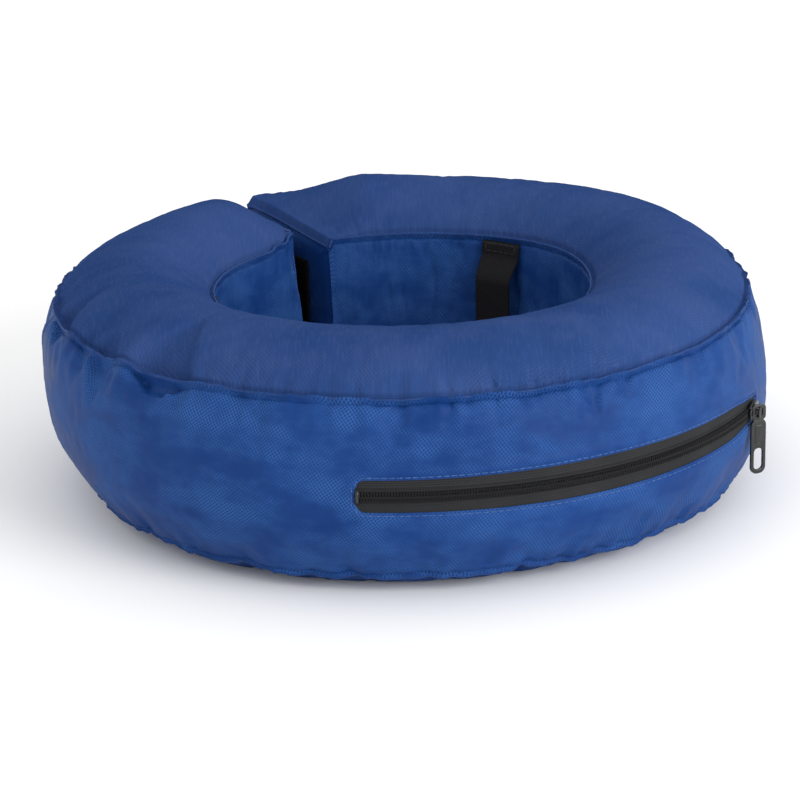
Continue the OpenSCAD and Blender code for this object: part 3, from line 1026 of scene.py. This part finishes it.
def squared(wave):
    """A sine wave filled out towards a square one."""
    return np.sign(wave) * np.abs(wave) ** 0.6


def zip_coil(name, side, material):
    """One row of coiled teeth: a flattened spiral of nylon, whose turns sit between the other's."""
    turns = int(math.radians(ZIP_TO - ZIP_FROM) * OUTER_R / COIL_PITCH)
    t = np.linspace(0, turns, turns * 12 + 1)
    phase = 2 * np.pi * t
    az = ZIP_FROM + (t + (0.5 if side > 0 else 0)) / (turns + 0.5) * (ZIP_TO - ZIP_FROM)
    half_w, half_t = COIL_W / 2 + COIL_OVERLAP, COIL_T / 2 - COIL_WIRE_R
    flat = squared(np.cos(phase))
    z = ZIP_Z + side * (half_w - COIL_OVERLAP + half_w * flat)
    r = OUTER_R - FABRIC_T + COIL_T / 2 + half_t * squared(np.sin(phase))
    wire = COIL_WIRE_R * (1 + 0.35 * smooth(-flat, 0.5, 1))
    parts = tube(polar(r, az, z), polar(1.0, az + 20, 0.3), wire, wire, sides=6)
    finish_piece(mesh_piece(name + "_teeth", *parts), "ring_front", material, "zip_coil", name)


def top_stitching(material):
    """The pale blue stitches round the window, sewn through the folded edge of the wall."""
    parts = []
    az = np.linspace(ZIP_FROM, ZIP_TO, 240)
    for side in (1, -1):
        z = ZIP_Z + side * (window_half(az) + STITCH_INSET)
        parts += stitches(polar(wall_radius(z) + STITCH_LIFT, az, z), polar(1.0, az, 0.0))
    for az_end, way in ((ZIP_FROM, -1), (ZIP_TO, 1)):
        reach = window_half(np.array([az_end]))[0] + STITCH_INSET
        z = np.linspace(ZIP_Z - reach, ZIP_Z + reach, 30)
        az = np.full(len(z), az_end)
        line = polar(wall_radius(z) + STITCH_LIFT, az + way * np.degrees(STITCH_INSET / OUTER_R), z)
        parts += stitches(line, polar(1.0, az, 0.0))
    finish_piece(joined_piece("zip_top_stitching", parts), "ring_front", material, "cover_fabric")


def rounded(width, height, radius, y=0.0):
    """A rectangle with rounded corners about (0, y), in mm, as a closed outline in metres."""
    corners = ((1, 1, 0), (-1, 1, 90), (-1, -1, 180), (1, -1, 270))
    points = []
    for sx, sy, start in corners:
        for a in np.radians(np.linspace(start, start + 90, 7)):
            points.append((sx * (width / 2 - radius) + radius * math.cos(a),
                           y + sy * (height / 2 - radius) + radius * math.sin(a)))
    return np.array(points) * MM


def plate(outlines, thickness, bevel):
    """Vertices and faces of a flat plate with bevelled edges, cut to an outline and its holes."""
    curve = bpy.data.curves.new("plate", "CURVE")
    curve.dimensions = "2D"
    curve.fill_mode = "BOTH"
    curve.extrude = thickness / 2 - bevel
    curve.bevel_depth = bevel
    curve.offset = -bevel
    curve.bevel_resolution = 2
    for outline in outlines:
        spline = curve.splines.new("POLY")
        spline.points.add(len(outline) - 1)
        for point, (x, y) in zip(spline.points, outline):
            point.co = (x, y, 0, 1)
        spline.use_cyclic_u = True
    obj = link(bpy.data.objects.new("plate", curve))
    mesh = bpy.data.meshes.new_from_object(obj.evaluated_get(bpy.context.evaluated_depsgraph_get()))
    built = bmesh.new()
    built.from_mesh(mesh)
    bmesh.ops.remove_doubles(built, verts=built.verts, dist=0.002 * MM)
    verts = [tuple(v.co) for v in built.verts]
    faces = [tuple(v.index for v in f.verts) for f in built.faces]
    built.free()
    bpy.data.objects.remove(obj)
    return verts, faces


def at_slider(verts, r, yaw=0.0):
    """Puts points drawn flat, x round the ring, y up and z outward, at the slider."""
    turn = Matrix.Rotation(math.radians(yaw), 4, "Y")
    out, across = Vector(polar(1.0, SLIDER_AZ, 0.0)), Vector(polar(1.0, SLIDER_AZ + 90, 0.0))
    axes = Matrix((across, Vector((0, 0, 1)), out)).transposed().to_4x4()
    place = Matrix.Translation(out * r + Vector((0, 0, ZIP_Z))) @ axes @ turn
    return np.array([place @ Vector(v) for v in verts])


def shoulders(x):
    """0 along the slider's narrow tail, and 1 at the broad end where the coils go in."""
    return smooth(x / SLIDER_HALF_L, -0.7, 0.25)


def slider_outline():
    """The slider's plate, with rounded ends."""
    x = np.linspace(-SLIDER_HALF_L, SLIDER_HALF_L, 40)
    half = (2.9 + 1.9 * shoulders(x)) * MM * (1 - np.abs(x / SLIDER_HALF_L) ** 7) ** 0.3
    return np.vstack([np.column_stack([x, -half]), np.column_stack([x, half])[::-1][1:-1]])


def zip_slider(material):
    """The slider: two plates with turned-in sides, and the crown that holds the pull."""
    outward = polar(1.0, SLIDER_AZ, 0.0)
    parts = []
    for r in SLIDER_PLATES_R:
        verts, faces = plate([slider_outline()], PLATE_T, PLATE_T / 4)
        parts.append((at_slider(verts, r), faces))
    x = np.linspace(-4.6, 4.6, 24) * MM
    for side in (-1, 1):
        y = side * (2.6 + 1.7 * shoulders(x)) * MM
        line = at_slider(np.column_stack([x, y, 0 * x]), SLIDER_SIDE_R)
        parts.append(tube(line, outward, 0.5 * MM, 1.1 * MM))
    height, width = CROWN.T * MM
    post = height[:, None] * outward + np.array([0, 0, ZIP_Z])
    parts.append(tube(post, np.array([0, 0, 1.0]), width, 1.25 * width, sides=20))
    obj = joined_piece("zip_slider_body", parts, sharp=40)
    finish_piece(obj, "slider", material, "zip_metal", "zip_slider")


def zip_pull(material):
    """The pull: a squarish eye over the crown, a neck, and a tab with a ridge and an open U."""
    eye = [rounded(8.2, 8.4, 2.2), rounded(4.2, 4.2, 1.2)]
    tab = [rounded(8.6, 29.5, 3.6, y=-18.2), rounded(4.9, 11.5, 2.2, y=-25)]
    neck = [rounded(5.4, 7, 1, y=-5.2), rounded(0.2, 0.2, 0.08, y=-6)]
    ridge = [rounded(4.4, 9.5, 1, y=-11.4)]
    parts = []
    for outlines, thickness in ((eye, 1.5), (tab, 1.5), (neck, 1.4), (ridge, 2.0)):
        verts, faces = plate(outlines, thickness * MM, 0.35 * MM)
        parts.append((at_slider(verts, PULL_R, PULL_YAW), faces))
    obj = joined_piece("zip_pull_tab", parts, sharp=40)
    finish_piece(obj, "pull", material, "zip_metal", "zip_pull")


def zip_stops(material):
    """A crimped staple over the coil at each end."""
    across = np.linspace(-1, 1, 14)
    z = ZIP_Z + across * (COIL_GAP + COIL_W)
    r = OUTER_R - FABRIC_T + COIL_T + 0.35 * MM - 0.9 * MM * np.abs(across) ** 6
    parts = [tube(polar(r, az, z), polar(1.0, az, 0.0), 0.8 * MM, 0.42 * MM, sides=10)
             for az in (ZIP_FROM + 0.4, ZIP_TO - 0.25)]
    obj = joined_piece("zip_stop_staples", parts)
    finish_piece(obj, "ring_front", material, "zip_metal", "zip_stops")


def zip_fastener(tape, coil, metal, thread):
    """The whole zip: two tapes with their coils, the stops, the slider, its pull and the stitches."""
    for name, side in (("upper", 1), ("lower", -1)):
        zip_tape(f"zip_tape_{name}", side, tape)
        zip_coil(f"zip_coil_{name}", side, coil)
    zip_stops(metal)
    zip_slider(metal)
    zip_pull(metal)
    top_stitching(thread)


# ---- materials ----

# The pitch of Blender's wave texture at a scale of 1
WAVE_PITCH = 2 * math.pi / 20
NYLON_DARK = (0.005, 0.031, 0.150)
NYLON_MID = (0.008, 0.040, 0.178)
# The pale: painted sheen and highlights on the weave, and the colour of the fabric's drawn threads
NYLON_SHEEN_AND_THREAD = (0.034, 0.105, 0.330)


class Finish:
    """A material being made: a principled shader, nodes that feed it, and the coordinates they read,
    which are the cloth's own where it is woven, and the object's if not. Lengths are in metres."""

    def __init__(self, name, woven=False, **values):
        self.material = bpy.data.materials.new(name)
        self.material.use_nodes = True
        self.nodes = self.material.node_tree.nodes
        self.links = self.material.node_tree.links
        self.shader = self.nodes["Principled BSDF"]
        self.shade(**values)
        if woven:
            self.where = self.add("ShaderNodeUVMap", {"uv_map": "threads"}).outputs[0]
        else:
            self.where = self.add("ShaderNodeTexCoord").outputs["Object"]

    def feed(self, socket, value):
        """Links a socket to another one, or sets it to a value."""
        if isinstance(value, bpy.types.NodeSocket):
            self.links.new(value, socket)
        else:
            socket.default_value = value

    def shade(self, **inputs):
        """Sets or links the shader's inputs, whose names have underscores for their spaces here."""
        for key, value in inputs.items():
            self.feed(self.shader.inputs[key.replace("_", " ")], value)

    def add(self, kind, settings=None, **inputs):
        """A node with its settings, and its inputs set to values or linked to sockets."""
        made = self.nodes.new(kind)
        for key, value in (settings or {}).items():
            setattr(made, key, value)
        for key, value in inputs.items():
            self.feed(made.inputs[key.replace("_", " ")], value)
        return made

    def math(self, operation, a, b):
        """The result of an operation on two values or sockets."""
        made = self.add("ShaderNodeMath", {"operation": operation})
        self.feed(made.inputs[0], a)
        self.feed(made.inputs[1], b)
        return made.outputs[0]

    def ramp(self, value, low, high, to_low=0.0, to_high=1.0):
        """A value mapped smoothly from one range to another."""
        smoothly = {"interpolation_type": "SMOOTHSTEP"}
        return self.add("ShaderNodeMapRange", smoothly, Value=value, From_Min=low, From_Max=high,
                        To_Min=to_low, To_Max=to_high).outputs["Result"]

    def mix(self, share, a, b):
        """A colour between a and b."""
        made = self.add("ShaderNodeMix", {"data_type": "RGBA"}, Factor=share)
        for socket, colour in ((made.inputs[6], a), (made.inputs[7], b)):
            self.feed(socket, colour if isinstance(colour, bpy.types.NodeSocket) else (*colour, 1))
        return made.outputs[2]

    def noise(self, scale, detail, roughness=0.5, stretch=(1, 1, 1)):
        """Noise from 0 to 1 over the coordinates, drawn out by a stretch."""
        where = self.add("ShaderNodeMapping", Vector=self.where, Scale=stretch).outputs[0]
        made = self.add("ShaderNodeTexNoise", Vector=where, Scale=scale, Detail=detail, Roughness=roughness)
        return made.outputs["Fac"]

    def bands(self, pitch, angle, waver):
        """Stripes of one pitch across the coordinates, at an angle in degrees, from 0 to 1."""
        turned = self.add("ShaderNodeMapping", Vector=self.where, Rotation=(0, 0, math.radians(angle)))
        made = self.add("ShaderNodeTexWave", {"wave_type": "BANDS", "bands_direction": "X"},
                        Vector=turned.outputs[0], Scale=WAVE_PITCH / pitch, Distortion=waver,
                        Detail=1.0, Detail_Scale=1.0)
        return made.outputs["Fac"]

    def finished(self, *layers):
        """The material, with bump from (height, depth) pairs, one over the other."""
        normal = None
        for height, depth in layers:
            made = self.add("ShaderNodeBump", Height=height, Strength=1.0, Distance=depth)
            if normal:
                self.links.new(normal, made.inputs["Normal"])
            normal = made.outputs["Normal"]
        self.shade(Normal=normal)
        return self.material


def cover_material(name, painted_sheen, streaks, tint, gloss):
    """Blue coated nylon in a tint, which on the panels is painted sheen. The weave shows as slanting
    pale strokes, a painted highlight where raised threads catch the light, in patches of painted
    sheen, and as faint drawn threads; both by their amount from 0 to 1."""
    made = Finish(name, woven=True, IOR=1.45, Specular_IOR_Level=gloss)
    # Painted highlight: pale slanting strokes where raised threads of the weave catch the light
    right = made.ramp(made.bands(1.4 * MM, 52, 0.8), 0.6, 0.95)
    left = made.ramp(made.bands(1.5 * MM, -34, 0.8), 0.6, 0.95)
    # Noise patches of painted sheen, in which the strokes show; the roughness follows them too
    thin = made.ramp(made.noise(26, 4, 0.6, stretch=(1, 1.6, 1)), 0.36, 0.68)
    strokes = made.math("MULTIPLY", made.math("MAXIMUM", right, left), thin)
    drawn = made.ramp(made.noise(110, 3, 0.6, stretch=(8, 1, 1)), 0.45, 0.75)
    dark, mid, pale = (tuple(np.multiply(tint, colour)) for colour in (NYLON_DARK, NYLON_MID, NYLON_SHEEN_AND_THREAD))
    base = made.mix(made.ramp(made.noise(10, 3, 0.55), 0.35, 0.65), dark, mid)
    # Painted sheen from the patches and the strokes, and the fabric's own drawn threads, mixed towards the
    # pale
    for mark, amount in ((thin, 0.09 * painted_sheen), (strokes, 0.80 * painted_sheen), (drawn, 0.10 * streaks)):
        base = made.mix(made.math("MULTIPLY", mark, amount), base, pale)
    made.shade(Base_Color=base, Roughness=made.ramp(thin, 0, 1, 0.46, 0.60))
    grain, crinkle = made.noise(500, 2), made.noise(45, 3)
    return made.finished((strokes, 0.10 * MM), (grain, 0.06 * MM), (crinkle, 0.35 * MM))


def mottled(name, spots, colours, grain, woven=False, **values):
    """A material that drifts between two colours in spots, (noise, low, high), and has a grain of
    (noise, depth) layers. A noise is (scale, detail) or (scale, detail, roughness)."""
    made = Finish(name, woven, **values)
    noise, low, high = spots
    made.shade(Base_Color=made.mix(made.ramp(made.noise(*noise), low, high), *colours))
    return made.finished(*((made.noise(*noise), depth) for noise, depth in grain))


def film_material():
    """Pale blue vinyl film, a little milky, with a faint grain."""
    return mottled(
        "bladder_film", ((18, 3), 0.3, 0.7), ((0.36, 0.52, 0.70), (0.46, 0.61, 0.77)),
        [((900, 2), 0.03 * MM), ((40, 2), 0.6 * MM)],
        woven=True, Roughness=0.32, IOR=1.53, Coat_Weight=0.3, Coat_Roughness=0.15)


def vinyl_material():
    """Clear soft vinyl, slightly clouded."""
    return mottled(
        "valve_vinyl", ((120, 3), 0.3, 0.7), ((0.62, 0.70, 0.76), (0.76, 0.82, 0.86)),
        [((700, 2), 0.04 * MM)], Roughness=0.18, IOR=1.53, Transmission_Weight=0.55)


def thread_material(name, dark, light):
    """Spun polyester sewing thread."""
    return mottled(
        name, ((1400, 2), 0.35, 0.65), (dark, light), [((1400, 2), 0.08 * MM)],
        Roughness=0.6, Specular_IOR_Level=0.25)


def pile_material():
    """The loop patch's pile: a fuzz of fine black nylon loops, made near black as painted shade
    for the dark gap at the split.
    """
    fuzz = (700, 4, 0.7)
    return mottled(
        # Near-black colours: painted shade for the gap between the arms' ends
        "loop_pile_painted_shade", (fuzz, 0.35, 0.7), ((0.003, 0.003, 0.003), (0.012, 0.012, 0.013)),
        [(fuzz, 0.35 * MM)], woven=True, Roughness=0.85, Specular_IOR_Level=0.1)


def webbing_material(name):
    """Black polyester webbing: a close plain weave with dusty high spots."""
    made = Finish(name, woven=True, Roughness=0.72, Specular_IOR_Level=0.2)
    weave = made.math("MULTIPLY", made.bands(1.5 * MM, 0, 0.3), made.bands(1.1 * MM, 90, 0.3))
    dusty = made.ramp(made.math("ADD", weave, made.noise(300, 3)), 0.6, 1.5)
    made.shade(Base_Color=made.mix(dusty, (0.003, 0.003, 0.004), (0.009, 0.009, 0.011)))
    return made.finished((weave, 0.15 * MM), (made.noise(1500, 2), 0.05 * MM))


def tape_material():
    """The zip's tape: charcoal herringbone, woven along its length and dusty in places."""
    made = Finish("zip_tape_weave", woven=True, Roughness=0.8, Specular_IOR_Level=0.2)
    ribs = made.ramp(made.bands(1.1 * MM, 90, 0.0), 0, 1, 0.45, 1)
    weave = made.math("MULTIPLY", ribs, made.bands(0.9 * MM, 45, 0.3))
    base = made.mix(made.ramp(weave, 0.0, 0.9), (0.007, 0.007, 0.008), (0.034, 0.035, 0.038))
    dust = made.ramp(made.noise(35, 3), 0.45, 0.7, 0, 0.4)
    made.shade(Base_Color=made.mix(dust, base, (0.028, 0.028, 0.029)))
    return made.finished((weave, 0.12 * MM), (made.noise(900, 2), 0.05 * MM))


def nylon_material():
    """The coil's nylon: nearly black, with a soft gloss."""
    made = Finish("coil_nylon", Roughness=0.62, Specular_IOR_Level=0.2)
    grain = made.noise(900, 2)
    made.shade(Base_Color=made.mix(grain, (0.006, 0.006, 0.007), (0.014, 0.014, 0.015)))
    return made.finished((grain, 0.02 * MM))


def metal_material():
    """Black enamel over zinc, rubbed thin in small spots."""
    made = Finish("black_enamel", IOR=1.6, Metallic=0.35, Coat_Weight=0.3)
    wear = made.ramp(made.noise(260, 4, 0.6), 0.60, 0.72)
    made.shade(
        Base_Color=made.mix(wear, (0.008, 0.008, 0.009), (0.045, 0.045, 0.047)),
        Roughness=made.ramp(made.noise(90, 3), 0.3, 0.7, 0.26, 0.42))
    return made.finished((made.noise(500, 2), 0.03 * MM))


# ---- scene ----

FLOOR_HALF = 40
# Each lamp's name, place, width and power in watts
LAMPS = (("key", (1.7, -1.5, 0.9), 1.4, 38), ("fill", (-1.6, -1.3, 1.0), 2.0, 2))
LAMP_AIM = Vector((0, 0, 0.05))


def studio():
    """A plain pale floor and soft light, strongest from the front right, before a white backdrop."""
    corners = [(x, y, 0) for x in (-FLOOR_HALF, FLOOR_HALF) for y in (-FLOOR_HALF, FLOOR_HALF)]
    floor = mesh_piece("floor", corners, [(0, 2, 3, 1)])
    paint = Finish("floor_paint", Base_Color=(0.95, 0.95, 0.95, 1), Roughness=0.95, Specular_IOR_Level=0.1)
    floor.data.materials.append(paint.material)
    world = bpy.data.worlds.new("studio")
    world.use_nodes = True
    background = world.node_tree.nodes["Background"]
    background.inputs["Strength"].default_value = 1.0
    background.inputs["Color"].default_value = (1, 1, 1, 1)
    bpy.context.scene.world = world
    for name, place, width, power in LAMPS:
        light = bpy.data.lights.new(name, "AREA")
        light.size = width
        light.energy = power
        lamp = link(bpy.data.objects.new(name, light))
        lamp.location = place
        lamp.rotation_euler = (LAMP_AIM - Vector(place)).to_track_quat("-Z", "Y").to_euler()
    bpy.context.scene.view_settings.view_transform = "Standard"


def camera():
    """The photograph's view: from the front, 19.1 degrees above the horizon, and 1.6 m away."""
    elevation, roll, distance = math.radians(19.1), math.radians(-1.28), 1.6
    aim = Vector((-0.0026, 0, 0.0389))
    back = Vector((0, -math.cos(elevation), math.sin(elevation)))
    level = Vector((1, 0, 0))
    upright = back.cross(level)
    x_axis = level * math.cos(roll) + upright * math.sin(roll)
    y_axis = upright * math.cos(roll) - level * math.sin(roll)
    axes = Matrix((x_axis, y_axis, back)).transposed().to_4x4()
    data = bpy.data.cameras.new("camera")
    data.lens = 134.8
    data.sensor_width = 36
    cam = link(bpy.data.objects.new("camera", data))
    cam.matrix_world = Matrix.Translation(aim + back * distance) @ axes
    bpy.context.scene.camera = cam


def main():
    """Builds every piece with its material, and then the studio and the camera."""
    wall = cover_material("wall_nylon", painted_sheen=1.0, streaks=0.1, tint=(0.95, 1.0, 0.96), gloss=0.1)
    # The panels' nylon is the walls' fabric in a greyer, paler tint: painted sheen where the light grazes the
    # top, which has no gloss of its own
    flat = cover_material("panel_nylon_painted_sheen", painted_sheen=0.15, streaks=1.0, tint=(3.5, 1.5, 1.03), gloss=0.0)
    faces = cover_panels(wall, flat)
    end_panels(faces, wall)
    bladder(film_material())
    valve(vinyl_material())
    black_thread = thread_material("black_thread", (0.008, 0.008, 0.009), (0.035, 0.035, 0.037))
    blue_thread = thread_material("blue_thread", (0.020, 0.060, 0.210), (0.055, 0.125, 0.340))
    patches(webbing_material("hook_tape"), pile_material())
    loops(faces, webbing_material("webbing"), black_thread)
    zip_fastener(tape_material(), nylon_material(), metal_material(), blue_thread)
    studio()
    camera()


main()
